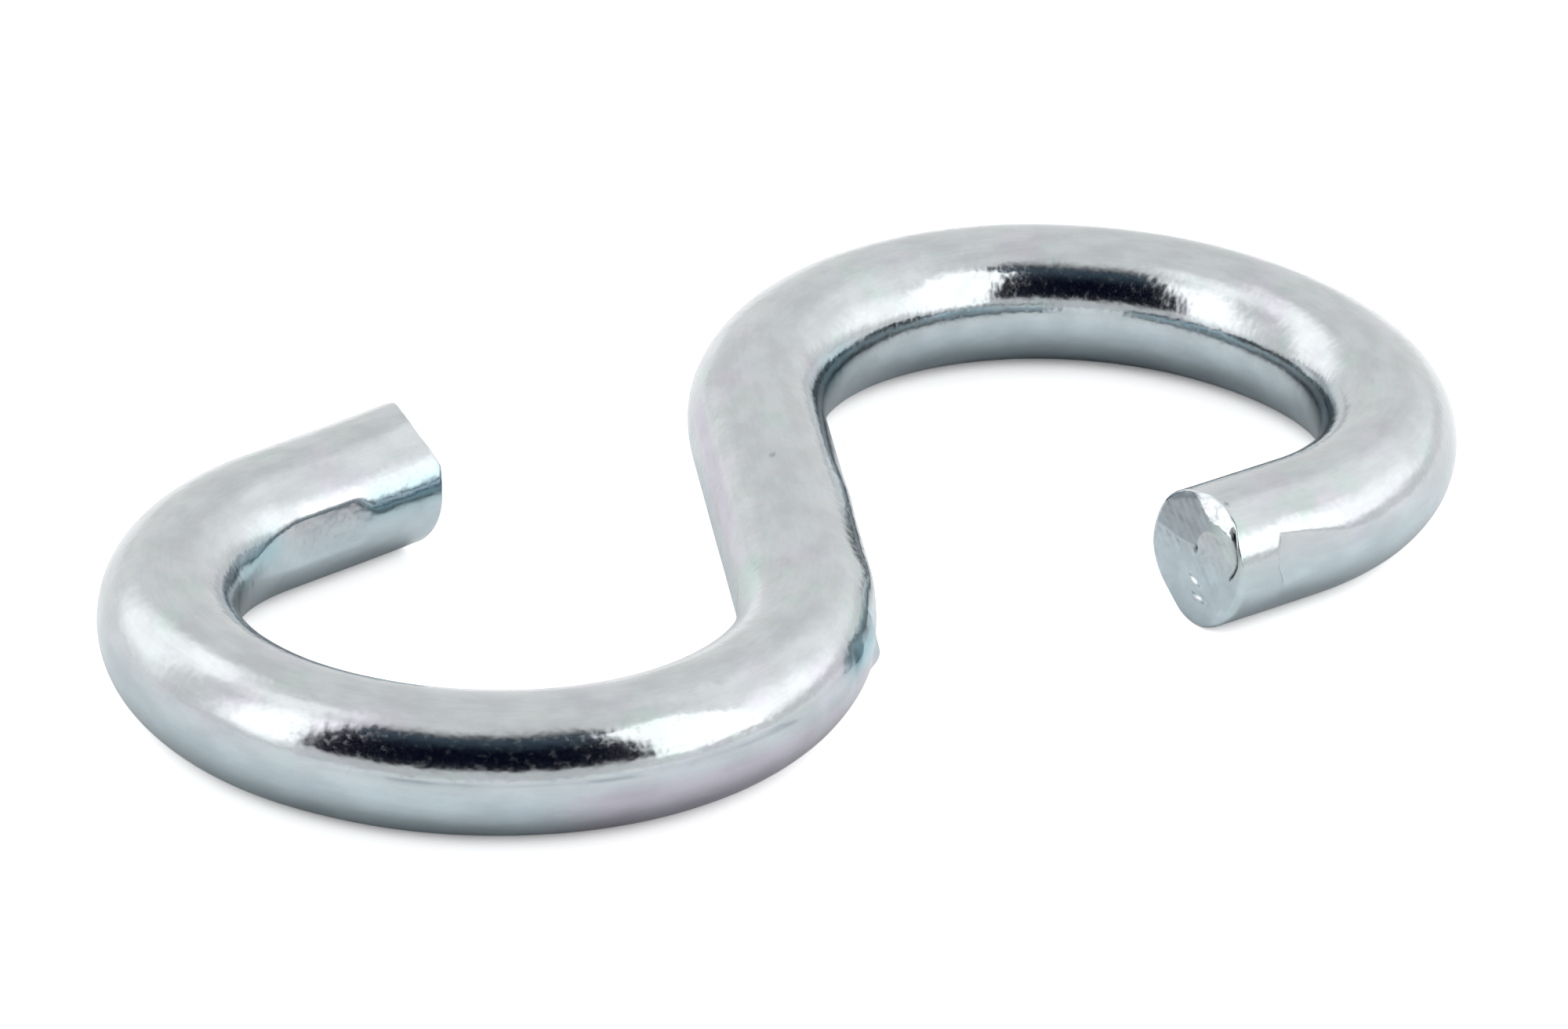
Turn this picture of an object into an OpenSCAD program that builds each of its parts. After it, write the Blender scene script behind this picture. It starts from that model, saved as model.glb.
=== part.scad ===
// S hook bent from one length of round steel wire, lying flat on its side.
// +X runs along the hook from its left bend to its right bend, +Z is up.
// The origin is the middle of the straight waist, on the surface the hook lies on.

/* [Wire] */

// Diameter of the round wire
wire_d = 5; // [2:0.1:12]

/* [Waist] */

// Length of the straight waist between the two bends
waist_len = 12.2; // [4:0.1:40]
// Angle from the length of the hook to the waist
waist_angle = 60; // [40:1:90]
// Depth of the flat that the bending jaws press into each side of the waist
waist_flat_depth = 0.12; // [0.05:0.01:0.4]

/* [Left bend] */

// Centre-line radius of the left bend beside the waist
left_near_r = 11.8; // [6:0.1:40]
// Angle turned at that radius
left_near_sweep = 120; // [30:0.5:170]
// Centre-line radius of the left bend beside its end
left_far_r = 9.6; // [5:0.1:40]
// Angle turned at that radius
left_far_sweep = 114.5; // [20:0.5:150]
// Length of the straight left end
left_end_len = 6.2; // [3:0.1:30]

/* [Right bend] */

// Centre-line radius of the right bend beside the waist
right_near_r = 11.6; // [6:0.1:40]
// Angle turned at that radius
right_near_sweep = 151; // [30:0.5:170]
// Centre-line radius of the right bend beside its end
right_far_r = 9.6; // [5:0.1:40]
// Angle turned at that radius
right_far_sweep = 88; // [20:0.5:150]
// Length of the straight right end
right_end_len = 4.5; // [3:0.1:30]

/* [Left sheared end] */

// Tilt of the sheared face from square
left_face_tilt = 4; // [1:0.5:20]
// Clock angle, from the top, of the side of the face that stands out
left_face_clock = 15; // [0:1:360]
// Clock angle, from the top, of the flat that the shear blade leaves
left_flat_clock = 332; // [0:1:360]
// Depth of that flat at the face
left_flat_depth = 0.08; // [0.05:0.01:0.6]
// Length of that flat along the wire
left_flat_len = 2; // [0.5:0.1:3]

/* [Right sheared end] */

// Tilt of the sheared face from square
right_face_tilt = 2; // [1:0.5:20]
// Clock angle, from the top, of the side of the face that stands out
right_face_clock = 160; // [0:1:360]
// Clock angle, from the top, of the flat that the shear blade leaves
right_flat_clock = 212; // [0:1:360]
// Depth of that flat at the face
right_flat_depth = 0.08; // [0.05:0.01:0.6]
// Length of that flat along the wire
right_flat_len = 1.5; // [0.5:0.1:3]

/* [Left jaw mark] */

// Distance from the left end to the step where the bending jaw bit
left_mark_from_end = 3.1; // [0.5:0.1:5]
// Length of the mark, from the step to where it fades out
left_mark_len = 3; // [0.5:0.1:6]
// Depth of the mark at the step
left_mark_depth = 0.16; // [0.05:0.01:0.4]
// Clock angle of the mark, from the top
left_mark_clock = 278; // [0:1:360]

/* [Right jaw mark] */

// Distance from the right end to the step where the bending jaw bit
right_mark_from_end = 1.8; // [0.5:0.1:5]
// Length of the mark, from the step to where it fades out
right_mark_len = 2.3; // [0.5:0.1:6]
// Depth of the mark at the step
right_mark_depth = 0.14; // [0.05:0.01:0.4]
// Clock angle of the mark, from the top
right_mark_clock = 82; // [0:1:360]

/* [Tool dent] */

// Distance from the middle of the waist to the dent in the left bend
dent_from_middle = 11.3; // [8:0.1:30]
// Depth of the dent
dent_depth = 0.1; // [0.05:0.01:0.6]
// Radius of the round nose that made the dent
dent_nose_r = 1.8; // [0.5:0.1:4]
// Clock angle of the dent, from the top
dent_clock = 67; // [0:1:360]

/* [Hidden] */

$fn = 48;
zinc_rgb = [0.78, 0.8, 0.81];

// Moves to where a bend to the right, of radius r through an angle of sweep, leaves off.
module after_bend(r, sweep) {
    translate([0, -r, 0])
        rotate([0, 0, -sweep])
            translate([0, r, 0])
                children();
}

// Straight wire from the origin along +X.
module straight(len) {
    rotate([0, 90, 0])
        cylinder(d = wire_d, h = len);
}

// Wire bent to the right, starting at the origin along +X.
module bend(r, sweep) {
    translate([0, -r, 0])
        rotate([0, 0, 90])
            rotate_extrude(angle = -sweep)
                translate([r, 0])
                    rotate(-90)
                        circle(d = wire_d);
}

// Takes a sloping flat off wire along +X: nothing at the start, the full depth after len.
module sloping_flat(clock, depth, len, past_end) {
    slope = atan(depth / len);
    rotate([-clock, 0, 0])
        translate([0, -wire_d, wire_d / 2])
            rotate([0, slope, 0])
                cube([len + past_end, 2 * wire_d, wire_d]);
}

// Straight end along +X with its sheared face and the flat beside it.
module sheared_end(len, face_tilt, face_clock, flat_clock, flat_depth, flat_len) {
    difference() {
        straight(len + wire_d);
        translate([len, 0, 0])
            rotate([-face_clock, 0, 0])
                rotate([0, face_tilt, 0])
                    translate([0, -wire_d, -wire_d])
                        cube([3 * wire_d, 2 * wire_d, 2 * wire_d]);
        translate([len - flat_len, 0, 0])
            sloping_flat(flat_clock, flat_depth, flat_len, wire_d);
    }
}

module left_end() {
    difference() {
        sheared_end(left_end_len, left_face_tilt, left_face_clock,
            left_flat_clock, left_flat_depth, left_flat_len);
        translate([left_end_len - left_mark_from_end - left_mark_len, 0, 0])
            sloping_flat(left_mark_clock, left_mark_depth, left_mark_len, 0);
    }
}

module right_end() {
    difference() {
        sheared_end(right_end_len, right_face_tilt, right_face_clock,
            right_flat_clock, right_flat_depth, right_flat_len);
        translate([right_end_len - right_mark_from_end - right_mark_len, 0, 0])
            sloping_flat(right_mark_clock, right_mark_depth, right_mark_len, 0);
    }
}

// Moves to the right-hand end of the waist.
module past_waist() {
    translate([waist_len / 2, 0, 0])
        children();
}

module waist() {
    translate([-waist_len / 2, 0, 0])
        straight(waist_len);
}

// Pressed flats along both sides of the waist.
module waist_flats() {
    flat_y = wire_d / 2 - waist_flat_depth;
    for (turn = [0, 180])
        rotate([0, 0, turn])
            translate([-waist_len / 2, flat_y, -wire_d])
                cube([1.5 * waist_len, wire_d, 2 * wire_d]);
}

// Round-nosed dent in the outer side of the left bend.
module tool_dent() {
    into_bend = (dent_from_middle - waist_len / 2) * 180 / (PI * left_near_r);
    past_waist()
        after_bend(left_near_r, into_bend)
            rotate([-dent_clock, 0, 0])
                translate([0, 0, wire_d / 2 + dent_nose_r - dent_depth])
                    sphere(r = dent_nose_r);
}

module s_hook() {
    color(zinc_rgb)
        translate([0, 0, wire_d / 2])
            rotate([0, 0, waist_angle])
                difference() {
                    union() {
                        waist();
                        past_waist()
                            bend(right_near_r, right_near_sweep);
                        past_waist()
                            after_bend(right_near_r, right_near_sweep)
                                bend(right_far_r, right_far_sweep);
                        past_waist()
                            after_bend(right_near_r, right_near_sweep)
                                after_bend(right_far_r, right_far_sweep)
                                    right_end();
                        rotate([0, 0, 180]) {
                            past_waist()
                                bend(left_near_r, left_near_sweep);
                            past_waist()
                                after_bend(left_near_r, left_near_sweep)
                                    bend(left_far_r, left_far_sweep);
                            past_waist()
                                after_bend(left_near_r, left_near_sweep)
                                    after_bend(left_far_r, left_far_sweep)
                                        left_end();
                        }
                    }
                    waist_flats();
                    rotate([0, 0, 180])
                        tool_dent();
                }
}

s_hook();
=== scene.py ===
"""Open S hook bent from bright zinc-plated wire, lying flat on a pale studio floor."""
import math

import bmesh
import bpy
import numpy as np
from mathutils import Matrix, Vector


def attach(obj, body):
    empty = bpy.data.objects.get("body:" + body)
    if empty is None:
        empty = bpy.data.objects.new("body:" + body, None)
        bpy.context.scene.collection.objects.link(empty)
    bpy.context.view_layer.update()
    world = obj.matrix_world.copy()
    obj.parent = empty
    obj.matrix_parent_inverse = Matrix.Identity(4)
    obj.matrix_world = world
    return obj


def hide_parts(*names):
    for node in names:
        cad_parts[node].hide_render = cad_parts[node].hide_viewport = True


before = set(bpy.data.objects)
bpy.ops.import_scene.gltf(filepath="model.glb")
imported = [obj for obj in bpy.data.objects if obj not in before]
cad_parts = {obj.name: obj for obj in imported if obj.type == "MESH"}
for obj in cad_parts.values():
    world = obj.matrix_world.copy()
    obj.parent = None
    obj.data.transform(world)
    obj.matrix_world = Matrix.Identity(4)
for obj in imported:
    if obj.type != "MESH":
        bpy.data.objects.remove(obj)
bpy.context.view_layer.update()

MM = 0.001

# Wire, bends and tool marks in millimetres and degrees, as in the solid. A clock angle turns
# from the top of the wire towards its left, on the way from the left end to the right end.
WIRE_D = 5.0
WIRE_R = WIRE_D / 2
WAIST_LEN = 12.2
WAIST_ANGLE = 60.0
WAIST_FLAT_DEPTH = 0.12
RIGHT_BENDS = ((11.6, 151.0), (9.6, 88.0))
RIGHT_END_LEN = 4.5
LEFT_BENDS = ((11.8, 120.0), (9.6, 114.5))
LEFT_END_LEN = 6.2
RIGHT_MARK_FROM_END = 1.8
RIGHT_MARK_CLOCK = 82.0
LEFT_MARK_FROM_END = 3.1
LEFT_MARK_DEPTH = 0.16
LEFT_MARK_CLOCK = 82.0
DENT_FROM_MIDDLE = 11.3
DENT_CLOCK = 293.0

# Sizes of the skin alone, in millimetres. The solid has the right mark shorter and less deep,
# the dent deeper, and no rounding.
RIGHT_MARK_LEN = 4.0
RIGHT_MARK_DEPTH = 0.21
DENT_DEPTH = 0.03
RIM_ROUNDING = 0.13

# Sides of the wire's section, and rings of points across each sheared face.
SIDES = 144
RIGHT_FACE_RINGS = 62
LEFT_FACE_RINGS = 14


def half_length(bends, end_len):
    """Length of the axis from the waist's middle to one sheared face."""
    return WAIST_LEN / 2 + sum(r * math.radians(a) for r, a in bends) + end_len


RIGHT_END = half_length(RIGHT_BENDS, RIGHT_END_LEN)
LEFT_END = -half_length(LEFT_BENDS, LEFT_END_LEN)


def smooth(value, low, high):
    """0 below low, 1 above high and an even curve between; high may be the lower one."""
    t = np.clip((value - low) / (high - low), 0.0, 1.0)
    return t * t * (3.0 - 2.0 * t)


def half_line(distance, bends):
    """Places and headings along one half, for distances out from the waist's middle."""
    x = np.minimum(distance, WAIST_LEN / 2)
    y = np.zeros_like(distance)
    heading = np.zeros_like(distance)
    rest = np.maximum(distance - WAIST_LEN / 2, 0.0)
    start = 0.0
    for radius, sweep in bends:
        sweep = math.radians(sweep)
        turned = np.clip(rest / radius, 0.0, sweep)
        x = x + radius * (math.sin(start) - np.sin(start - turned))
        y = y + radius * (np.cos(start - turned) - math.cos(start))
        heading = heading - turned
        rest = np.maximum(rest - radius * sweep, 0.0)
        start -= sweep
    return x + rest * math.cos(start), y + rest * math.sin(start), heading


def centre_line(along):
    """Plan position and heading of the axis at distances from the waist's middle."""
    rx, ry, rh = half_line(np.maximum(along, 0.0), RIGHT_BENDS)
    lx, ly, lh = half_line(np.maximum(-along, 0.0), LEFT_BENDS)
    right = along >= 0.0
    x = np.where(right, rx, -lx)
    y = np.where(right, ry, -ly)
    turn = math.radians(WAIST_ANGLE)
    heading = np.where(right, rh, lh) + turn
    return (x * math.cos(turn) - y * math.sin(turn),
            x * math.sin(turn) + y * math.cos(turn), heading)


def bend_wire(straight):
    """Bends points given as along the wire, to its left and up, into the hook."""
    along, left, up = straight.T
    x, y, heading = centre_line(along)
    return np.stack([x - left * np.sin(heading), y + left * np.cos(heading),
                     up + WIRE_R], axis=1)


def straighten(points, along):
    """Undoes bend_wire for points whose place along the wire is known."""
    x, y, heading = centre_line(along)
    left = (points[:, 1] - y) * np.cos(heading) - (points[:, 0] - x) * np.sin(heading)
    return np.stack([along, left, points[:, 2] - WIRE_R], axis=1)


# Shader and geometry node helpers.

def add_node(tree, kind, inputs=None, **settings):
    """Adds a node, sets its properties, then its inputs from values or sockets."""
    made = tree.nodes.new(kind)
    for name, value in settings.items():
        setattr(made, name, value)
    for name, value in (inputs or {}).items():
        socket = made.inputs[name]
        if isinstance(value, bpy.types.NodeSocket):
            tree.links.new(value, socket)
        else:
            socket.default_value = value
    return made


def calc(tree, operation, *values):
    """Result of a maths node on values or sockets."""
    made = add_node(tree, "ShaderNodeMath", dict(enumerate(values)), operation=operation)
    return made.outputs[0]


def blend_colour(tree, factor, first, second):
    """Colour between the first, at factor 0, and the second, at factor 1."""
    made = tree.nodes.new("ShaderNodeMix")
    made.data_type = "RGBA"
    colour_a, colour_b, colour_result = 6, 7, 2
    for index, value in ((0, factor), (colour_a, first), (colour_b, second)):
        if isinstance(value, bpy.types.NodeSocket):
            tree.links.new(value, made.inputs[index])
        else:
            made.inputs[index].default_value = value
    return made.outputs[colour_result]


def ramp(tree, value, low, high, to_low=0.0, to_high=1.0, shape="SMOOTHSTEP"):
    """Maps a value's range to another, with an even curve between unless a shape is given."""
    made = add_node(tree, "ShaderNodeMapRange",
                    {"Value": value, "From Min": low, "From Max": high,
                     "To Min": to_low, "To Max": to_high},
                    interpolation_type=shape)
    return made.outputs["Result"]


# The wire itself.

def ring_places():
    """Distances along the axis for the wire's rings, closer where there is more to cut."""
    # Places along the wire, each with the step between rings there.
    marks = ((LEFT_END, 0.06), (LEFT_END + 0.6, 0.06), (LEFT_END + 1.2, 0.24),
             (-13.2, 0.26), (-12.4, 0.1), (-8.0, 0.1), (-7.2, 0.26),
             (51.2, 0.26), (51.8, 0.12), (53.9, 0.12), (54.0, 0.04), (54.4, 0.04),
             (54.5, 0.1), (RIGHT_END - 0.9, 0.1), (RIGHT_END - 0.5, 0.05),
             (RIGHT_END - 0.1, 0.03), (RIGHT_END, 0.02))
    places = [LEFT_END]
    stops, steps = zip(*marks)
    last_step = steps[-1]
    while places[-1] < RIGHT_END - last_step:
        places.append(places[-1] + float(np.interp(places[-1], stops, steps)))
    places[-1] = RIGHT_END
    return np.array(places)


def wire_tree():
    """Node tree that sweeps a round section along a path and leaves it slightly uneven."""
    tree = bpy.data.node_groups.new("Drawn wire", "GeometryNodeTree")
    sockets = tree.interface
    sockets.new_socket("Path", in_out="INPUT", socket_type="NodeSocketGeometry")
    for name, kind, value in (("Wire Diameter", "NodeSocketFloat", WIRE_D * MM),
                              ("Sides", "NodeSocketInt", SIDES),
                              ("Unevenness", "NodeSocketFloat", 0.0),
                              ("Unevenness Size", "NodeSocketFloat", 5 * MM),
                              ("Seed", "NodeSocketInt", 0)):
        socket = sockets.new_socket(name, in_out="INPUT", socket_type=kind)
        socket.default_value = value
    sockets.new_socket("Finish", in_out="INPUT", socket_type="NodeSocketMaterial")
    sockets.new_socket("Wire", in_out="OUTPUT", socket_type="NodeSocketGeometry")
    given = tree.nodes.new("NodeGroupInput").outputs
    path = add_node(tree, "GeometryNodeMeshToCurve", {"Mesh": given["Path"]})
    level = add_node(tree, "GeometryNodeSetCurveNormal", {"Curve": path.outputs[0]},
                     mode="Z_UP")
    radius = calc(tree, "MULTIPLY", given["Wire Diameter"], 0.5)
    section = add_node(tree, "GeometryNodeCurvePrimitiveCircle",
                       {"Resolution": given["Sides"], "Radius": radius})
    swept = add_node(tree, "GeometryNodeCurveToMesh",
                     {"Curve": level.outputs[0], "Profile Curve": section.outputs[0]})
    place = add_node(tree, "GeometryNodeInputPosition")
    fineness = calc(tree, "DIVIDE", 1.0, given["Unevenness Size"])
    noise = add_node(tree, "ShaderNodeTexNoise",
                     {"Vector": place.outputs[0], "W": given["Seed"], "Scale": fineness,
                      "Detail": 1.0}, noise_dimensions="4D")
    about = calc(tree, "SUBTRACT", noise.outputs[0], 0.5)
    depth = calc(tree, "MULTIPLY", about, given["Unevenness"])
    normal = add_node(tree, "GeometryNodeInputNormal")
    shift = add_node(tree, "ShaderNodeVectorMath",
                     {0: normal.outputs[0], "Scale": depth}, operation="SCALE")
    uneven = add_node(tree, "GeometryNodeSetPosition",
                      {"Geometry": swept.outputs[0], "Offset": shift.outputs[0]})
    shaded = add_node(tree, "GeometryNodeSetShadeSmooth", {"Geometry": uneven.outputs[0]})
    real = add_node(tree, "GeometryNodeRealizeInstances", {"Geometry": shaded.outputs[0]})
    finished = add_node(tree, "GeometryNodeSetMaterial",
                        {"Geometry": real.outputs[0], "Material": given["Finish"]})
    leaving = tree.nodes.new("NodeGroupOutput")
    tree.links.new(finished.outputs[0], leaving.inputs["Wire"])
    return tree


def swept_wire(name, finish):
    """The bent wire as drawn, before any tool touches it, with its place along the axis."""
    places = ring_places()
    x, y, _ = centre_line(places)
    axis = np.stack([x, y, np.full_like(x, WIRE_R)], axis=1) * MM
    path = bpy.data.meshes.new("path")
    path.from_pydata(axis.tolist(), [(i, i + 1) for i in range(len(axis) - 1)], [])
    along = path.attributes.new("along", "FLOAT", "POINT")
    along.data.foreach_set("value", places)
    blank = bpy.data.objects.new("path", path)
    bpy.context.scene.collection.objects.link(blank)
    tree = wire_tree()
    sweep = blank.modifiers.new("Drawn wire", "NODES")
    sweep.node_group = tree
    values = {"Wire Diameter": WIRE_D * MM, "Sides": SIDES, "Unevenness": 0.05 * MM,
              "Unevenness Size": 4.5 * MM, "Seed": 7, "Finish": finish}
    for item in tree.interface.items_tree:
        if item.in_out == "INPUT" and item.name in values:
            sweep[item.identifier] = values[item.name]
    depsgraph = bpy.context.evaluated_depsgraph_get()
    mesh = bpy.data.meshes.new_from_object(blank.evaluated_get(depsgraph))
    mesh.name = name
    blank.modifiers.clear()
    bpy.data.objects.remove(blank)
    return mesh


def soft_over(value, softness):
    """How far value is over 0, with the corner at 0 rounded off."""
    return 0.5 * (value + np.sqrt(value * value + softness * softness))


def flatten(straight, clock, depth, softness=0.03):
    """Presses a flat into the wire on the side at that clock angle."""
    toward = (np.sin(np.radians(clock)), np.cos(np.radians(clock)))
    reach = straight[:, 1] * toward[0] + straight[:, 2] * toward[1]
    over = soft_over(reach - (WIRE_R - depth), softness) * (depth > -0.5 * softness)
    straight[:, 1] -= over * toward[0]
    straight[:, 2] -= over * toward[1]


def push_out(straight, amount):
    """Moves points straight out from the axis."""
    radius = np.hypot(straight[:, 1], straight[:, 2])
    scale = 1.0 + amount / np.maximum(radius, 1e-6)
    straight[:, 1] *= scale
    straight[:, 2] *= scale


def clock_of(straight):
    """Clock angle of points about the axis, 0 to 360."""
    return np.degrees(np.arctan2(straight[:, 1], straight[:, 2])) % 360.0


def clock_from(clock, middle):
    """Signed angle from a clock angle."""
    return (clock - middle + 180.0) % 360.0 - 180.0


def ripple(*waves):
    """Sum of sines, each of a value at a rate and phase, as unevenness that stays the same."""
    total = 0.0
    for value, rate, phase, size in waves:
        total = total + size * np.sin(value * rate + phase)
    return total


# A flat at this depth stays just clear of the round wire.
CLEAR = -0.03
# How far the step of the right mark shifts along the wire, by clock angle.
STEP_CLOCKS = (40.0, 54.0, 81.0, 121.0, 136.0)
STEP_SHIFTS = (-0.2, -0.1, 0.16, -0.3, -0.5)
# Flat of the shear blade beside each face: end, way inward, clock angle, depth and length.
# Both are a little less deep here than in the solid.
SHEAR_FLATS = ((RIGHT_END, -1.0, 212.0, 0.06, 1.5), (LEFT_END, 1.0, 28.0, 0.05, 2.0))


def oval_on_wire(along, clock, at, clock_at, length, width):
    """1 at a place on the wire's skin, falling to 0 at the edge of an oval about it."""
    sideways = np.radians(clock_from(clock, clock_at)) * WIRE_R
    return smooth(np.hypot((along - at) / length, sideways / width), 1.0, 0.0)


def press_waist(straight, clock):
    """Flats of the bending jaws on both sides of the waist, and the metal they raise."""
    along = straight[:, 0]
    in_waist = smooth(np.abs(along), WAIST_LEN / 2 + 2.0, WAIST_LEN / 2 - 0.5)
    for side in (90.0, 270.0):
        flatten(straight, side, WAIST_FLAT_DEPTH * in_waist + CLEAR * (1 - in_waist))
    # On the right side the metal is squeezed up into an edge.
    squeezed = smooth(along, -8.4, -6.6) * smooth(along, 2.0, -1.0)
    push_out(straight, 0.08 * squeezed * np.exp(-(clock_from(clock, 302.0) / 12.0) ** 2))
    # There the flat runs on into the left bend and ends in a proud corner.
    run_on = np.interp(along, (-9.2, -9.0, -7.6, -6.4, -2.5, -0.5),
                       (CLEAR, 0.2, 0.16, 0.05, 0.05, CLEAR))
    flatten(straight, np.interp(along, (-7.4, -6.2), (276.0, 284.0)), run_on)
    push_out(straight, 0.17 * oval_on_wire(along, clock, -9.1, 262.0, 0.45, 0.8))


def press_right_end(straight, clock):
    """The step that the jaw's end leaves in the right end, and a flat that fades from it."""
    along = straight[:, 0]
    step = RIGHT_END - RIGHT_MARK_FROM_END + np.interp(clock, STEP_CLOCKS, STEP_SHIFTS)
    into_mark = np.clip((along - (step - RIGHT_MARK_LEN)) / RIGHT_MARK_LEN, 0.0, 1.0)
    bitten = into_mark * smooth(along, step + 0.12, step - 0.12)
    depth = RIGHT_MARK_DEPTH * bitten + CLEAR * (1 - bitten)
    # The flat lies 3 degrees nearer to the top than in the solid.
    flatten(straight, RIGHT_MARK_CLOCK - 3.0, depth, 0.02)
    around = smooth(clock, 40.0, 52.0) * smooth(clock, 136.0, 122.0)
    push_out(straight, -0.02 * bitten * around)


def press_left_end(straight):
    """The flat that a jaw pressed into the front of the left end and the bend beside it."""
    stop = LEFT_END + LEFT_MARK_FROM_END
    depth = np.interp(straight[:, 0], (stop, stop + 0.6, stop + 3.6, stop + 8.5),
                      (CLEAR, LEFT_MARK_DEPTH, LEFT_MARK_DEPTH, CLEAR))
    flatten(straight, LEFT_MARK_CLOCK, depth, 0.015)


def press_marks(straight):
    """The flats, steps and dents that bending and shearing leave on the wire."""
    along = straight[:, 0]
    clock = clock_of(straight)
    press_waist(straight, clock)
    press_right_end(straight, clock)
    press_left_end(straight)
    dent = oval_on_wire(along, clock, -DENT_FROM_MIDDLE, DENT_CLOCK, 0.62, 0.5)
    push_out(straight, -DENT_DEPTH * dent)
    for end, inward, flat_clock, depth, length in SHEAR_FLATS:
        back = (along - end) * inward
        nearness = np.clip(1.0 - back / length, -0.2, 1.0)
        flatten(straight, flat_clock, depth * nearness)


# How far each face's rim stands out, by clock angle from -30 to 330.
LEFT_RIM_CLOCKS = (-30.0, -20.0, -10.0, 0.0, 10.0, 20.0, 30.0, 40.0, 50.0, 60.0, 70.0, 80.0,
                   180.0, 270.0, 305.0, 330.0)
LEFT_RIM_REACH = (0.45, 0.62, 0.42, 0.21, 0.09, 0.02, 0.0, 0.03, 0.1, 0.22, 0.14, 0.09,
                  0.0, -0.05, 0.1, 0.45)
RIGHT_RIM_CLOCKS = (-30.0, 60.0, 120.0, 150.0, 165.0, 180.0, 200.0, 225.0, 260.0, 285.0, 330.0)
RIGHT_RIM_REACH = (0.0, 0.1, 0.2, 0.3, 0.27, 0.2, 0.08, 0.0, 0.07, 0.0, 0.0)
# Radius of the right rim's rounding, by clock angle.
RIM_CLOCKS = (-30.0, -15.0, 36.0, 50.0, 71.0, 90.0, 135.0, 165.0)
RIM_RADII = (RIM_ROUNDING, 0.03, 0.03, 0.06, 0.1, 0.2, 0.3, RIM_ROUNDING)
# Gap between the right face and the lip rolled over it: clock angle, radius and half width.
GAP_LINE = ((22.0, 2.62, 0.02), (30.0, 2.52, 0.03), (40.0, 2.46, 0.035), (47.0, 2.38, 0.045),
            (52.0, 2.36, 0.045), (58.0, 2.34, 0.035), (71.0, 2.27, 0.035), (77.0, 2.13, 0.045),
            (84.0, 1.98, 0.045), (89.0, 1.84, 0.04))
# Inner edge of the torn corner of the right face, by clock angle, and how far it falls back.
TORN_CLOCKS = (-14.0, -10.0, 0.0, 8.0, 18.0, 34.0, 47.0, 54.0, 62.0)
TORN_RADII = (2.5, 2.32, 2.05, 1.9, 1.75, 2.0, 2.23, 2.4, 2.5)
TORN_DROP = 0.28
# Pit of the right face, to the left of its middle and up.
PIT = (-0.15, 0.36)
# Facets of the right face that catch the light: place, half length, half width, slant, slope.
# Each leans to the clock angle of the light.
SCOOP_LEAN = 26.0
FACETS = (((-0.01, -0.86), 0.32, 0.1, -12.0, 0.95), ((0.34, -1.38), 0.3, 0.08, 0.0, 0.95),
          ((0.62, -1.5), 0.3, 0.06, -38.0, 0.3), ((1.8, 0.46), 0.16, 0.06, -37.0, 0.5),
          ((1.62, -1.5), 0.1, 0.1, 0.0, 0.7))
# Bright scratches there, painted as glints: place, half length, half width, slant, strength.
SCRATCH_GLINTS = (((-0.01, -0.86), 0.31, 0.085, -14.0, 1.0), ((0.34, -1.38), 0.3, 0.07, 0.0, 0.9),
             ((1.62, -1.5), 0.1, 0.1, 0.0, 0.6))


def lip_gap(left, up):
    """1 in the gap under the torn lip of the right face, 0 elsewhere."""
    clocks, radii, halves = np.array(GAP_LINE).T
    fine = np.linspace(clocks[0], clocks[-1], 90)
    radius = np.interp(fine, clocks, radii)
    half = np.interp(fine, clocks, halves)
    turn = np.radians(fine)
    far = np.hypot(left[:, None] - radius * np.sin(turn), up[:, None] - radius * np.cos(turn))
    return smooth((far / half).min(axis=1), 1.5, 0.7)


def rim_turn(clock):
    """Clock angle from -30 to 330, as the rims' tables have it."""
    return clock_from(clock, 150.0) + 150.0


def shape_ends(straight):
    """Rounds the rims of the two sheared faces and draws them out of square."""
    along = straight[:, 0]
    for end, outward in ((RIGHT_END, 1.0), (LEFT_END, -1.0)):
        back = (end - along) * outward
        rim = RIM_ROUNDING
        if outward > 0:
            rim = np.interp(clock_from(clock_of(straight), 60.0), np.array(RIM_CLOCKS) - 60.0,
                            RIM_RADII)
        near = np.clip(rim - back, 0.0, rim)
        drop = rim - np.sqrt(np.maximum(rim * rim - near * near, 0.0))
        push_out(straight, -drop * (back < rim))
    # The left face is drawn out into a corner at its top and a smaller one at its left.
    clock = clock_of(straight)
    near = smooth(along - LEFT_END, 1.6, 0.0)
    straight[:, 0] -= near * np.interp(rim_turn(clock), LEFT_RIM_CLOCKS, LEFT_RIM_REACH)
    at_corner = smooth(np.abs(clock_from(clock, 345.0)), 34.0, 0.0)
    push_out(straight, near * near * 0.06 * at_corner)
    # The right face stands out at its foot; its top corner tears away under a lip.
    back = RIGHT_END - along
    reach = np.interp(rim_turn(clock), RIGHT_RIM_CLOCKS, RIGHT_RIM_REACH)
    straight[:, 0] += smooth(back, 1.6, 0.0) * reach
    straight[:, 0] -= TORN_DROP * torn_share(clock) * smooth(back, 1.2, 0.0)


def face_rings(straight_rim, outward, count, relief):
    """Points of a sheared face in rings from its rim to its middle, and the middle."""
    middle = straight_rim.mean(axis=0)
    rings = []
    for step in range(1, count):
        part = 1.0 - step / count
        rings.append(middle + (straight_rim - middle) * part)
    rings.append(middle[None, :])
    points = np.concatenate(rings)
    points[:, 0] += outward * relief(points[:, 1], points[:, 2])
    return points


def torn_share(clock):
    """How far the torn corner of the right face falls back at a clock angle, 0 to 1."""
    turn = clock_from(clock, 0.0)
    return smooth(turn, -15.0, 8.0) * smooth(turn, 60.0, 34.0)


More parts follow.
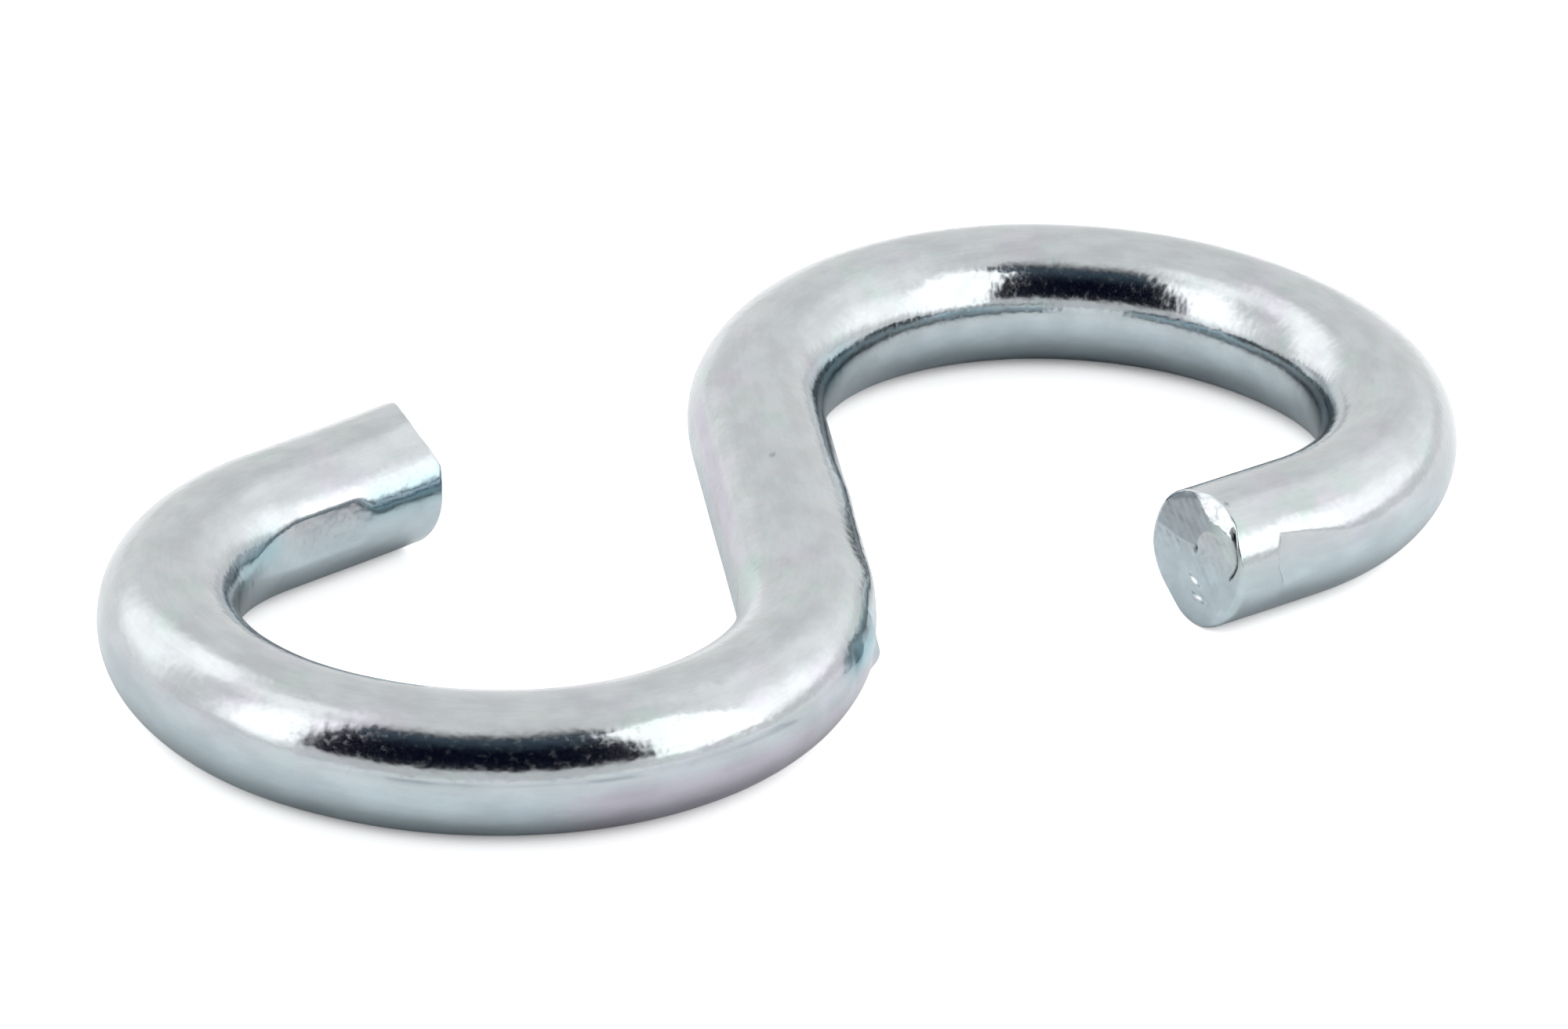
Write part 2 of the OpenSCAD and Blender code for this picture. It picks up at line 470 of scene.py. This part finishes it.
def spot(left, up, at, length, width, slant=0.0):
    """1 at a place on a face, falling to 0 over an oval about it."""
    turn = math.radians(slant)
    x = (left - at[0]) * math.cos(turn) + (up - at[1]) * math.sin(turn)
    y = (up - at[1]) * math.cos(turn) - (left - at[0]) * math.sin(turn)
    return np.exp(-(x / length) ** 2 - (y / width) ** 2)


def scoop(left, up, at, length, width, slant, slope):
    """A short facet that leans towards the light by a slope, over an oval about a place."""
    lean = math.radians(SCOOP_LEAN)
    reach = (left - at[0]) * math.sin(lean) + (up - at[1]) * math.cos(lean)
    return -slope * reach * spot(left, up, at, length, width, slant)


def upper_sector(left, up):
    """1 on the smoother sector of the right face above its pit, 0 elsewhere."""
    edge = 0.42 + 0.05 * np.sin(2.2 * left + 0.8)
    beside = smooth(np.hypot(left - 0.72, up - 0.5), 0.76, 0.84)
    return smooth(up, edge - 0.03, edge + 0.04) * beside * smooth(left, 1.3, 0.4)


def torn_band(left, up):
    """How far out across the tear a place is, 0 at its inner edge or before, 1 at the rim."""
    clock = np.degrees(np.arctan2(left, up))
    inner = np.interp(clock, TORN_CLOCKS, TORN_RADII)
    across = (np.hypot(left, up) - inner) / np.maximum(WIRE_R - inner, 0.03)
    return np.clip(across, 0.0, 1.0)


def right_face(left, up):
    """Height of the right face's surface: a raised sector, a pit, ridges and a torn corner."""
    radius = np.hypot(left, up)
    clock = np.degrees(np.arctan2(left, up))
    inside = smooth(radius, 2.42, 2.2)
    height = ripple((left, 9.1, 0.3, 0.004), (up, 7.3, 1.1, 0.004),
                    (left + up, 12.7, 2.0, 0.003))
    height = height + 0.018 * upper_sector(left, up)
    height = height - 0.05 * spot(left, up, PIT, 0.09, 0.13)
    for at, length, width, slant, slope in FACETS:
        height = height + scoop(left, up, at, length, width, slant, slope)
    across = torn_band(left, up)
    torn = torn_share(clock)
    outward = 0.44 * left + 0.9 * up
    sideways = 0.9 * left - 0.44 * up
    crumple = ripple((outward + 0.3 * sideways, 27.0, 0.3, 0.01),
                     (sideways + 0.06 * np.sin(outward * 17.0), 23.0, 1.3, 0.016),
                     (outward - sideways, 41.0, 2.0, 0.004))
    flat_again = torn * TORN_DROP * (radius / WIRE_R - across)
    burr = 0.12 * torn * smooth(across, 0.0, 0.1) * (1.0 - across)
    height = inside * height + flat_again + burr
    height = height + crumple * smooth(across, 0.0, 0.2) * smooth(radius, 2.5, 2.3)
    return height - 0.07 * lip_gap(left, up) * smooth(radius, 2.5, 2.4)


def bare_steel_and_glints(left, up):
    """1 where the right face is freshly scratched or torn: lighter steel, with painted glints.
    """
    torn = torn_share(np.degrees(np.arctan2(left, up)))
    # The torn band is lighter: torn steel with a painted highlight.
    band = torn * smooth(torn_band(left, up), 0.0, 0.15)
    ragged = ripple((left + 0.3 * up, 13.0, 0.4, 0.5), (up - 0.4 * left, 17.0, 1.9, 0.5))
    scratch_glints = 0.0
    for at, length, width, slant, strength in SCRATCH_GLINTS:
        scratch_glints = scratch_glints + strength * spot(left, up, at, length, width, slant)
    return np.clip(scratch_glints + band * (0.65 + 0.35 * ragged), 0.0, 1.0)


def left_face(left, up):
    """Height of the left face's surface: almost plain, with a fine unevenness."""
    radius = np.hypot(left, up)
    inside = smooth(radius, 2.45, 2.2)
    fine = ripple((left, 8.3, 0.7, 0.008), (up, 6.1, 0.1, 0.008), (left - up, 11.3, 1.0, 0.004))
    return inside * fine


def plating_tints_and_reflection(straight):
    """Painted teal reflection, and lilac and green passivation, at each point, 0 to 1."""
    along, left, up = straight.T
    clock = clock_of(straight)
    # Painted teal reflection high on the inside of the bends, but not far round the right bend,
    # nor between two patches of the left bend.
    waistward = np.where(left < 0, smooth(along, -13.0, -11.0), smooth(along, -13.0, -15.0))
    teal_reflection = waistward * np.exp(-((up - 0.7) / 0.55) ** 2)
    teal_reflection = teal_reflection * smooth(np.abs(along - 27.0), 12.0, 18.0)
    teal_reflection = teal_reflection * smooth(along, 51.0, 48.0)
    left_patches = smooth(along, -52.2, -53.4) + smooth(np.abs(along + 45.5), 3.5, 2.0)
    teal_reflection = teal_reflection * np.where(along < -13.0, 0.7 * left_patches, 1.0)
    # Lilac on the waist's left side, and low on the right side of the left bend.
    on_waist_side = smooth(np.abs(clock_from(clock, 72.0)), 18.0, 9.0)
    lilac = smooth(np.abs(along - 1.5), 7.0, 4.0) * on_waist_side
    lilac = lilac + smooth(np.abs(along + 16.5), 8.0, 5.0) * smooth(up, 0.6, -0.4) * (left < 0)
    # Green on the left side, where the waist runs into the left bend.
    on_bend_side = smooth(np.abs(clock_from(clock, 60.0)), 20.0, 8.0)
    green = smooth(np.abs(along + 8.6), 3.4, 1.6) * on_bend_side
    return np.stack([teal_reflection, np.clip(lilac, 0.0, 1.0), green], axis=1)


# Specks where the plating is thin: place along, clock angle, half length, half width, strength.
# The first five are in and beside the dent.
SPECKS = ((-11.3, 290.0, 0.24, 0.3, 0.65), (-11.75, 295.5, 0.16, 0.16, 0.6),
          (-11.6, 284.0, 0.2, 0.2, 0.35), (-10.0, 295.0, 0.5, 0.14, 0.6),
          (-9.2, 297.0, 0.35, 0.12, 0.35), (-45.2, 87.0, 0.11, 0.11, 0.9),
          (0.0, 11.0, 0.09, 0.09, 0.8), (-17.4, 338.0, 0.13, 0.11, 0.5),
          (-26.1, 354.0, 0.09, 0.09, 0.5), (55.5, 18.0, 0.09, 0.08, 0.8))
# Clock angle of the waist's squeezed-up edge, where a dark line of shade is painted, by place
# along the wire.
EDGE_PLACES = (-9.0, -7.0, -5.0, -3.5, 0.0, 4.0)
EDGE_CLOCKS = (300.0, 302.0, 302.0, 302.0, 307.0, 312.0)
# Height of a lap that drawing left along the left bend, by place along the wire.
LAP_PLACES = (-30.0, -22.8, -19.7, -15.9, -11.5)
LAP_HEIGHTS = (0.4, 0.43, 0.52, 0.6, 0.04)


def thin_plating_and_shade(straight):
    """Thin, matt plating at specks and on a lap, and painted shade along the waist's edge, 0 to
    1.
    """
    along, left, up = straight.T
    clock = clock_of(straight)
    total = np.zeros_like(along)
    for at, clock_at, length, width, strength in SPECKS:
        across = np.radians(clock_from(clock, clock_at)) * WIRE_R
        oval = np.exp(-((along - at) / length) ** 2 - (across / width) ** 2)
        total = total + strength * oval
    # Painted shade: a broken dark line along the waist's squeezed-up edge.
    edge = np.interp(along, EDGE_PLACES, EDGE_CLOCKS)
    across = np.radians(clock_from(clock, 0.0) + 360.0 - edge) * WIRE_R
    broken = 0.6 + 0.4 * np.sin(along * 2.3 + 0.5)
    on_edge = smooth(along, -9.2, -8.4) * smooth(along, 4.0, 1.0)
    total = total + 0.45 * broken * on_edge * np.exp(-(across / 0.13) ** 2)
    lap = np.interp(along, LAP_PLACES, LAP_HEIGHTS)
    on_lap = (left < 0) * smooth(along, -30.5, -29.0) * smooth(along, -14.0, -16.0)
    waves = np.sin(along * 1.15 + 1.5) + 0.4 * np.sin(along * 3.1)
    dashes = 0.15 + 0.4 * smooth(waves, 0.1, 0.9)
    total = total + dashes * on_lap * np.exp(-((up - lap) / 0.07) ** 2)
    return np.clip(total, 0.0, 1.0)


def cap_faces(rim, start, count):
    """Faces from a rim's points over the rings of points that begin at start to the middle."""
    rings = [list(rim)]
    for k in range(count - 1):
        rings.append(list(range(start + k * SIDES, start + (k + 1) * SIDES)))
    middle = start + (count - 1) * SIDES
    faces = []
    for outer, inner in zip(rings[:-1], rings[1:]):
        for i in range(SIDES):
            j = (i + 1) % SIDES
            faces.append([outer[i], outer[j], inner[j], inner[i]])
    for i in range(SIDES):
        faces.append([rings[-1][i], rings[-1][(i + 1) % SIDES], middle])
    return faces


def store_values(mesh, name, values):
    """Keeps a number or a vector for each point of a mesh, for the finishes to read."""
    kind, field = ("FLOAT", "value") if values.ndim == 1 else ("FLOAT_VECTOR", "vector")
    stored = mesh.attributes.new(name, kind, "POINT")
    stored.data.foreach_set(field, values.astype(np.float32).ravel())


def make_hook(finish, sheared_finish):
    """The hook as one mesh: the drawn wire with its tool marks, and its two sheared faces."""
    drawn = swept_wire("hook_wire", finish)
    count = len(drawn.vertices)
    points = np.empty(count * 3)
    drawn.vertices.foreach_get("co", points)
    along = np.empty(count)
    drawn.attributes["along"].data.foreach_get("value", along)
    straight = straighten(points.reshape(-1, 3) / MM, along)
    press_marks(straight)
    shape_ends(straight)

    corners = np.empty(len(drawn.loops), dtype=int)
    drawn.loops.foreach_get("vertex_index", corners)
    faces = corners.reshape(-1, 4).tolist()
    tube_faces = len(faces)
    parts = [straight]
    start = count
    for first, outward, rings, relief in (
            (count - SIDES, 1.0, RIGHT_FACE_RINGS, right_face),
            (0, -1.0, LEFT_FACE_RINGS, left_face)):
        cap = face_rings(straight[first:first + SIDES], outward, rings, relief)
        faces.extend(cap_faces(range(first, first + SIDES), start, rings))
        parts.append(cap)
        start += len(cap)

    straight = np.concatenate(parts)
    left, up = straight[:, 1], straight[:, 2]
    tube = np.arange(start) < count
    at_right = straight[:, 0] > RIGHT_END - 0.8
    # Painted shade: black in the gap under the torn lip and in the pit.
    gap = lip_gap(left, up) * at_right * ~tube
    gap = np.maximum(gap, 0.85 * spot(left, up, PIT, 0.08, 0.12) * at_right * ~tube)
    # Lighter on scratches and the torn band: torn steel, with painted glints and highlight.
    bare_and_glint = bare_steel_and_glints(left, up) * at_right * ~tube
    # The raised sector of the right face above its pit is darker: painted shade.
    dull_and_shade = np.where(tube, thin_plating_and_shade(straight), 0.4 * upper_sector(left, up) * at_right)

    mesh = bpy.data.meshes.new("hook_wire")
    mesh.from_pydata((bend_wire(straight) * MM).tolist(), [], faces)
    mesh.materials.append(finish)
    mesh.materials.append(sheared_finish)
    slots = np.zeros(len(faces), dtype=int)
    slots[tube_faces:] = 1
    mesh.polygons.foreach_set("material_index", slots)
    mesh.polygons.foreach_set("use_smooth", np.ones(len(faces), dtype=bool))
    for name, values in (("straight_wire", straight), ("gap", gap), ("bare_and_glint", bare_and_glint),
                         ("dull_and_shade", dull_and_shade), ("tints", plating_tints_and_reflection(straight) * tube[:, None])):
        store_values(mesh, name, values)
    work = bmesh.new()
    work.from_mesh(mesh)
    bmesh.ops.recalc_face_normals(work, faces=work.faces)
    work.to_mesh(mesh)
    work.free()
    hook = bpy.data.objects.new("hook_wire", mesh)
    bpy.context.scene.collection.objects.link(hook)
    bpy.data.meshes.remove(drawn)
    return hook


# Finishes.

PLATED = (0.503, 0.530, 0.542, 1.0)
LILAC_FILM = (0.515, 0.515, 0.555, 1.0)
GREEN_FILM = (0.475, 0.545, 0.53, 1.0)
# Painted shade: the underside darker and bluer.
UNDERSIDE_SHADE = (0.435, 0.525, 0.567, 1.0)
# Painted teal reflection, for the inside of the bends.
TEAL_REFLECTION = (0.30, 0.49, 0.55, 1.0)
LILAC_TINT = (0.455, 0.44, 0.50, 1.0)
GREEN_TINT = (0.44, 0.55, 0.52, 1.0)
# Matt, thin plating at specks and on a lap, and painted shade.
DULL_PLATING_AND_SHADE = (0.12, 0.165, 0.21, 1.0)
# Torn steel, with painted glints and highlight.
BARE_STEEL_AND_GLINT = (0.9, 0.93, 0.95, 1.0)
# Painted shade in the gap under the torn lip and in the pit.
GAP_SHADE = (0.004, 0.004, 0.005, 1.0)


def noise(tree, place, scale, detail):
    """Noise from 0 to 1 at a place; its patches are about one over scale in size."""
    made = add_node(tree, "ShaderNodeTexNoise",
                    {"Vector": place, "Scale": scale, "Detail": detail})
    return made.outputs[0]


def mapped(tree, place, change, amount):
    """A place moved by a Location or stretched by a Scale."""
    return add_node(tree, "ShaderNodeMapping", {"Vector": place, change: amount}).outputs[0]


def plating_colour_and_shade_group():
    """Colour and roughness of bright bluish zinc, lilac and green films, painted shade and teal
    reflection.
    """
    group = bpy.data.node_groups.new("Zinc plating", "ShaderNodeTree")
    sockets = group.interface
    sockets.new_socket("Wire Place", in_out="INPUT", socket_type="NodeSocketVector")
    sockets.new_socket("Tints", in_out="INPUT", socket_type="NodeSocketVector")
    for name, value in (("Tint Strength", 1.0), ("Roughness", 0.16)):
        socket = sockets.new_socket(name, in_out="INPUT", socket_type="NodeSocketFloat")
        socket.default_value = value
    sockets.new_socket("Colour", in_out="OUTPUT", socket_type="NodeSocketColor")
    sockets.new_socket("Roughness", in_out="OUTPUT", socket_type="NodeSocketFloat")
    sockets.new_socket("Height", in_out="OUTPUT", socket_type="NodeSocketFloat")
    given = group.nodes.new("NodeGroupInput").outputs
    place = given["Wire Place"]

    # Films in wide patches, then painted shade making the underside darker and bluer, then the
    # tints of known places.
    lilac = ramp(group, noise(group, place, 0.35, 3.0), 0.52, 0.72)
    patches = noise(group, mapped(group, place, "Location", (31.0, 7.0, 3.0)), 0.5, 3.0)
    green = ramp(group, patches, 0.55, 0.75)
    colour = PLATED
    for film, film_colour in ((lilac, LILAC_FILM), (green, GREEN_FILM)):
        amount = calc(group, "MULTIPLY", film, given["Tint Strength"])
        colour = blend_colour(group, amount, colour, film_colour)
    parts = add_node(group, "ShaderNodeSeparateXYZ", {"Vector": place})
    # Painted shade: darker and bluer towards the underside of the wire.
    under = ramp(group, parts.outputs["Z"], 1.3, -0.4)
    shaded_underside = blend_colour(group, 0.8, colour, UNDERSIDE_SHADE)
    colour = blend_colour(group, under, colour, shaded_underside)
    # Tints of known places: teal is painted reflection, lilac and green the passivation's own.
    tints = add_node(group, "ShaderNodeSeparateXYZ", {"Vector": given["Tints"]})
    patchy = ramp(group, patches, 0.2, 0.5, 0.5, 1.0)
    for axis, tint in (("X", TEAL_REFLECTION), ("Y", LILAC_TINT), ("Z", GREEN_TINT)):
        amount = calc(group, "MULTIPLY", tints.outputs[axis], patchy)
        colour = blend_colour(group, amount, colour, tint)

    fine = noise(group, place, 9.0, 4.0)
    rough = calc(group, "ADD", given["Roughness"], ramp(group, fine, 0.3, 0.7, -0.02, 0.02))
    grains = noise(group, place, 4.0, 2.0)
    rough = calc(group, "ADD", rough, ramp(group, grains, 0.5, 0.7, 0.0, 0.1))

    # Relief of the plating's skin, of lines along the wire and of fine grain.
    peel = noise(group, place, 2.2, 1.0)
    lines = noise(group, mapped(group, place, "Scale", (0.8, 9.0, 9.0)), 1.0, 3.0)
    height = calc(group, "MULTIPLY_ADD", lines, 0.02, peel)
    height = calc(group, "MULTIPLY_ADD", fine, 0.05, height)

    blotches = noise(group, mapped(group, place, "Scale", (0.6, 1.1, 1.1)), 1.0, 4.0)
    tone = calc(group, "MULTIPLY", ramp(group, blotches, 0.3, 0.7, 0.93, 1.07),
                ramp(group, lines, 0.3, 0.7, 0.985, 1.015))
    toned = add_node(group, "ShaderNodeVectorMath", {0: colour, "Scale": tone},
                     operation="SCALE")
    leaving = group.nodes.new("NodeGroupOutput")
    group.links.new(toned.outputs[0], leaving.inputs["Colour"])
    group.links.new(rough, leaving.inputs["Roughness"])
    group.links.new(height, leaving.inputs["Height"])
    return group


def plated_finish(name, group, roughness, bump):
    """Finish of the plating, with thin places, painted glints and painted shade; bump in
    millimetres.
    """
    material = bpy.data.materials.new(name)
    material.use_nodes = True
    tree = material.node_tree
    shader = tree.nodes["Principled BSDF"]
    place = add_node(tree, "ShaderNodeAttribute", attribute_name="straight_wire")
    plating = tree.nodes.new("ShaderNodeGroup")
    plating.node_tree = group
    tree.links.new(place.outputs["Vector"], plating.inputs["Wire Place"])
    tints = add_node(tree, "ShaderNodeAttribute", attribute_name="tints")
    tree.links.new(tints.outputs["Vector"], plating.inputs["Tints"])
    plating.inputs["Roughness"].default_value = roughness
    raised = add_node(tree, "ShaderNodeBump",
                      {"Height": plating.outputs["Height"], "Strength": 1.0,
                       "Distance": bump * MM})
    colour = plating.outputs["Colour"]
    # Darker thin places and painted shade, lighter painted glints, black painted shade in the
    # gap.
    for mark, mark_colour in (("dull_and_shade", DULL_PLATING_AND_SHADE), ("bare_and_glint", BARE_STEEL_AND_GLINT),
                              ("gap", GAP_SHADE)):
        share = add_node(tree, "ShaderNodeAttribute", attribute_name=mark)
        colour = blend_colour(tree, share.outputs["Fac"], colour, mark_colour)
    tree.links.new(colour, shader.inputs["Base Color"])
    tree.links.new(plating.outputs["Roughness"], shader.inputs["Roughness"])
    tree.links.new(raised.outputs["Normal"], shader.inputs["Normal"])
    shader.inputs["Metallic"].default_value = 1.0
    return material


# Studio: a white tent with a soft panel at each side, open at the front.

# Direction in degrees from which the tent's azimuths count.
FRONT_AZIMUTH = -129.37
TENT_WHITE = (1.02, 1.02, 1.02, 1.0)
# Left and right edges, low and high edges, each with its softness, all in degrees, then the
# brightness, or red, green and blue.
TENT_PANELS = (
    (((-45, 12), (55, 12)), ((-20, 6), (13, 5)), 0.86),
    (((92, 8), (152, 14)), ((10, 3), (60, 12)), 1.3),
    (((60, 12), (122, 14)), ((11, 4), (34, 10)), 1.85),
    (((58, 6), (88, 6)), ((11, 4), (57, 9)), 2.1),
    (((-138, 10), (-102, 9)), ((4, 14), (58, 9)), 1.72),
    (((-104, 12), (-66, 14)), ((50, 8), (74, 8)), 1.62),
    (((-74, 10), (-44, 4)), ((10, 8), (58, 10)), 2.1),
    (((-43, 4), (66, 5)), ((14, 3), (70, 9)), (0.002, 0.003, 0.014)),
    (((-40, 6), (62, 6)), ((54, 12), (64, 5)), (0.07, 0.11, 0.15)),
)


def panel_mask(tree, around, high, azimuths, elevations):
    """1 in a rectangle of directions; each side is its place and its softness."""
    mask = 1.0
    for value, sides in ((around, azimuths), (high, elevations)):
        for (place, soft), sign in zip(sides, (1, -1)):
            edge = ramp(tree, value, place - sign * soft, place + sign * soft)
            mask = calc(tree, "MULTIPLY", mask, edge)
    return mask


def light_tent():
    """The world around the hook: the tent's white, its panels and its dark open front."""
    world = bpy.data.worlds.new("Light tent")
    bpy.context.scene.world = world
    world.use_nodes = True
    tree = world.node_tree
    tree.nodes.clear()
    direction = add_node(tree, "ShaderNodeTexCoord")
    turned = add_node(tree, "ShaderNodeVectorRotate",
                      {"Vector": direction.outputs["Generated"],
                       "Angle": math.radians(-FRONT_AZIMUTH)}, rotation_type="Z_AXIS")
    parts = add_node(tree, "ShaderNodeSeparateXYZ", {"Vector": turned.outputs[0]})
    x, y, z = (parts.outputs[i] for i in range(3))
    around = calc(tree, "MULTIPLY", calc(tree, "ARCTAN2", y, x), 180 / math.pi)
    high = calc(tree, "MULTIPLY", calc(tree, "ARCSINE", z), 180 / math.pi)
    level = TENT_WHITE
    for azimuths, elevations, brightness in TENT_PANELS:
        colour = (*np.broadcast_to(brightness, 3).tolist(), 1.0)
        mask = panel_mask(tree, around, high, azimuths, elevations)
        level = blend_colour(tree, mask, level, colour)
    shade = add_node(tree, "ShaderNodeBackground", {"Color": level})
    leaving = tree.nodes.new("ShaderNodeOutputWorld")
    tree.links.new(shade.outputs[0], leaving.inputs["Surface"])


def stage_panel(name, corners):
    """A flat panel between four corners in metres."""
    mesh = bpy.data.meshes.new(name)
    mesh.from_pydata(corners, [], [(0, 1, 2, 3)])
    panel = bpy.data.objects.new(name, mesh)
    bpy.context.scene.collection.objects.link(panel)
    return panel


SOFTBOX_STRENGTH = 2.1


def side_softbox():
    """Upright white panel at the right of the hook, near enough to shift between its bends."""
    low, high = 0.025, 0.235
    near, far = (0.026, -0.152), (0.105, -0.104)
    softbox = stage_panel("side_softbox",
                          [(*near, low), (*far, low), (*far, high), (*near, high)])
    softbox.visible_camera = False
    material = bpy.data.materials.new("Softbox cloth")
    material.use_nodes = True
    tree = material.node_tree
    tree.nodes.clear()
    glow = add_node(tree, "ShaderNodeEmission", {"Strength": SOFTBOX_STRENGTH})
    leaving = tree.nodes.new("ShaderNodeOutputMaterial")
    tree.links.new(glow.outputs[0], leaving.inputs["Surface"])
    softbox.data.materials.append(material)


FLOOR_WHITE = (0.8, 0.8, 0.8, 1)
# How near the hook has to be to shade the floor, in millimetres.
SHADE_REACH = 8


def studio_floor():
    """White table that glows where it lies open, and less towards the hook's shade."""
    half = 3.0
    floor = stage_panel("floor", [(-half, -half, 0), (half, -half, 0), (half, half, 0),
                                  (-half, half, 0)])
    material = bpy.data.materials.new("White table")
    material.use_nodes = True
    tree = material.node_tree
    shader = tree.nodes["Principled BSDF"]
    shader.inputs["Base Color"].default_value = FLOOR_WHITE
    shader.inputs["Roughness"].default_value = 0.9
    shader.inputs["Specular IOR Level"].default_value = 0.0
    rays = add_node(tree, "ShaderNodeLightPath")
    mirrored = calc(tree, "MAXIMUM", rays.outputs["Is Glossy Ray"],
                    rays.outputs["Is Transmission Ray"])
    open_sky = add_node(tree, "ShaderNodeAmbientOcclusion", {"Distance": SHADE_REACH * MM},
                        samples=12)
    # Glow that the camera sees, and glow that the wire mirrors, by how open the floor is.
    seen_glow = ramp(tree, open_sky.outputs["AO"], 0.0, 0.21, 0.0, 0.7, "LINEAR")
    mirrored_glow = ramp(tree, open_sky.outputs["AO"], 0.41, 0.75, 0.0, 0.32, "LINEAR")
    glow = calc(tree, "ADD", calc(tree, "MULTIPLY", rays.outputs["Is Camera Ray"], seen_glow),
                calc(tree, "MULTIPLY", mirrored, mirrored_glow))
    tree.links.new(glow, shader.inputs["Emission Strength"])
    shader.inputs["Emission Color"].default_value = (1, 1, 1, 1)
    floor.data.materials.append(material)


# Camera: angles in degrees; distance, aim and lens in millimetres.
CAMERA_AZIMUTH = -39.366
CAMERA_ELEVATION = 27.333
CAMERA_ROLL = 3.803
CAMERA_DISTANCE = 443.93
CAMERA_AIM = Vector((0.1507, 0.0751, 2.5))
LENS = 287.41


def make_camera():
    """The camera that looks down at the hook's front."""
    data = bpy.data.cameras.new("camera")
    data.lens = LENS
    data.sensor_width = 36.0
    data.clip_start = 0.01
    data.clip_end = 20.0
    camera = bpy.data.objects.new("camera", data)
    bpy.context.scene.collection.objects.link(camera)
    azimuth = math.radians(CAMERA_AZIMUTH)
    elevation = math.radians(CAMERA_ELEVATION)
    back = Vector((math.sin(azimuth) * math.cos(elevation),
                   -math.cos(azimuth) * math.cos(elevation), math.sin(elevation)))
    side = back.cross(Vector((0, 0, -1))).normalized()
    up = back.cross(side)
    roll = math.radians(CAMERA_ROLL)
    side, up = (side * math.cos(roll) + up * math.sin(roll),
                up * math.cos(roll) - side * math.sin(roll))
    turn = Matrix((side, up, back)).transposed().to_4x4()
    camera.matrix_world = Matrix.Translation((CAMERA_AIM + back * CAMERA_DISTANCE) * MM) @ turn
    bpy.context.scene.camera = camera


plating = plating_colour_and_shade_group()
bright_zinc = plated_finish("Bright zinc plating", plating, 0.13, 0.012)
sheared_zinc = plated_finish("Plated shear face", plating, 0.3, 0.02)
hook = make_hook(bright_zinc, sheared_zinc)
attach(hook, "root")
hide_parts("s_hook")
studio_floor()
side_softbox()
light_tent()
make_camera()
bpy.context.scene.view_settings.view_transform = "Standard"
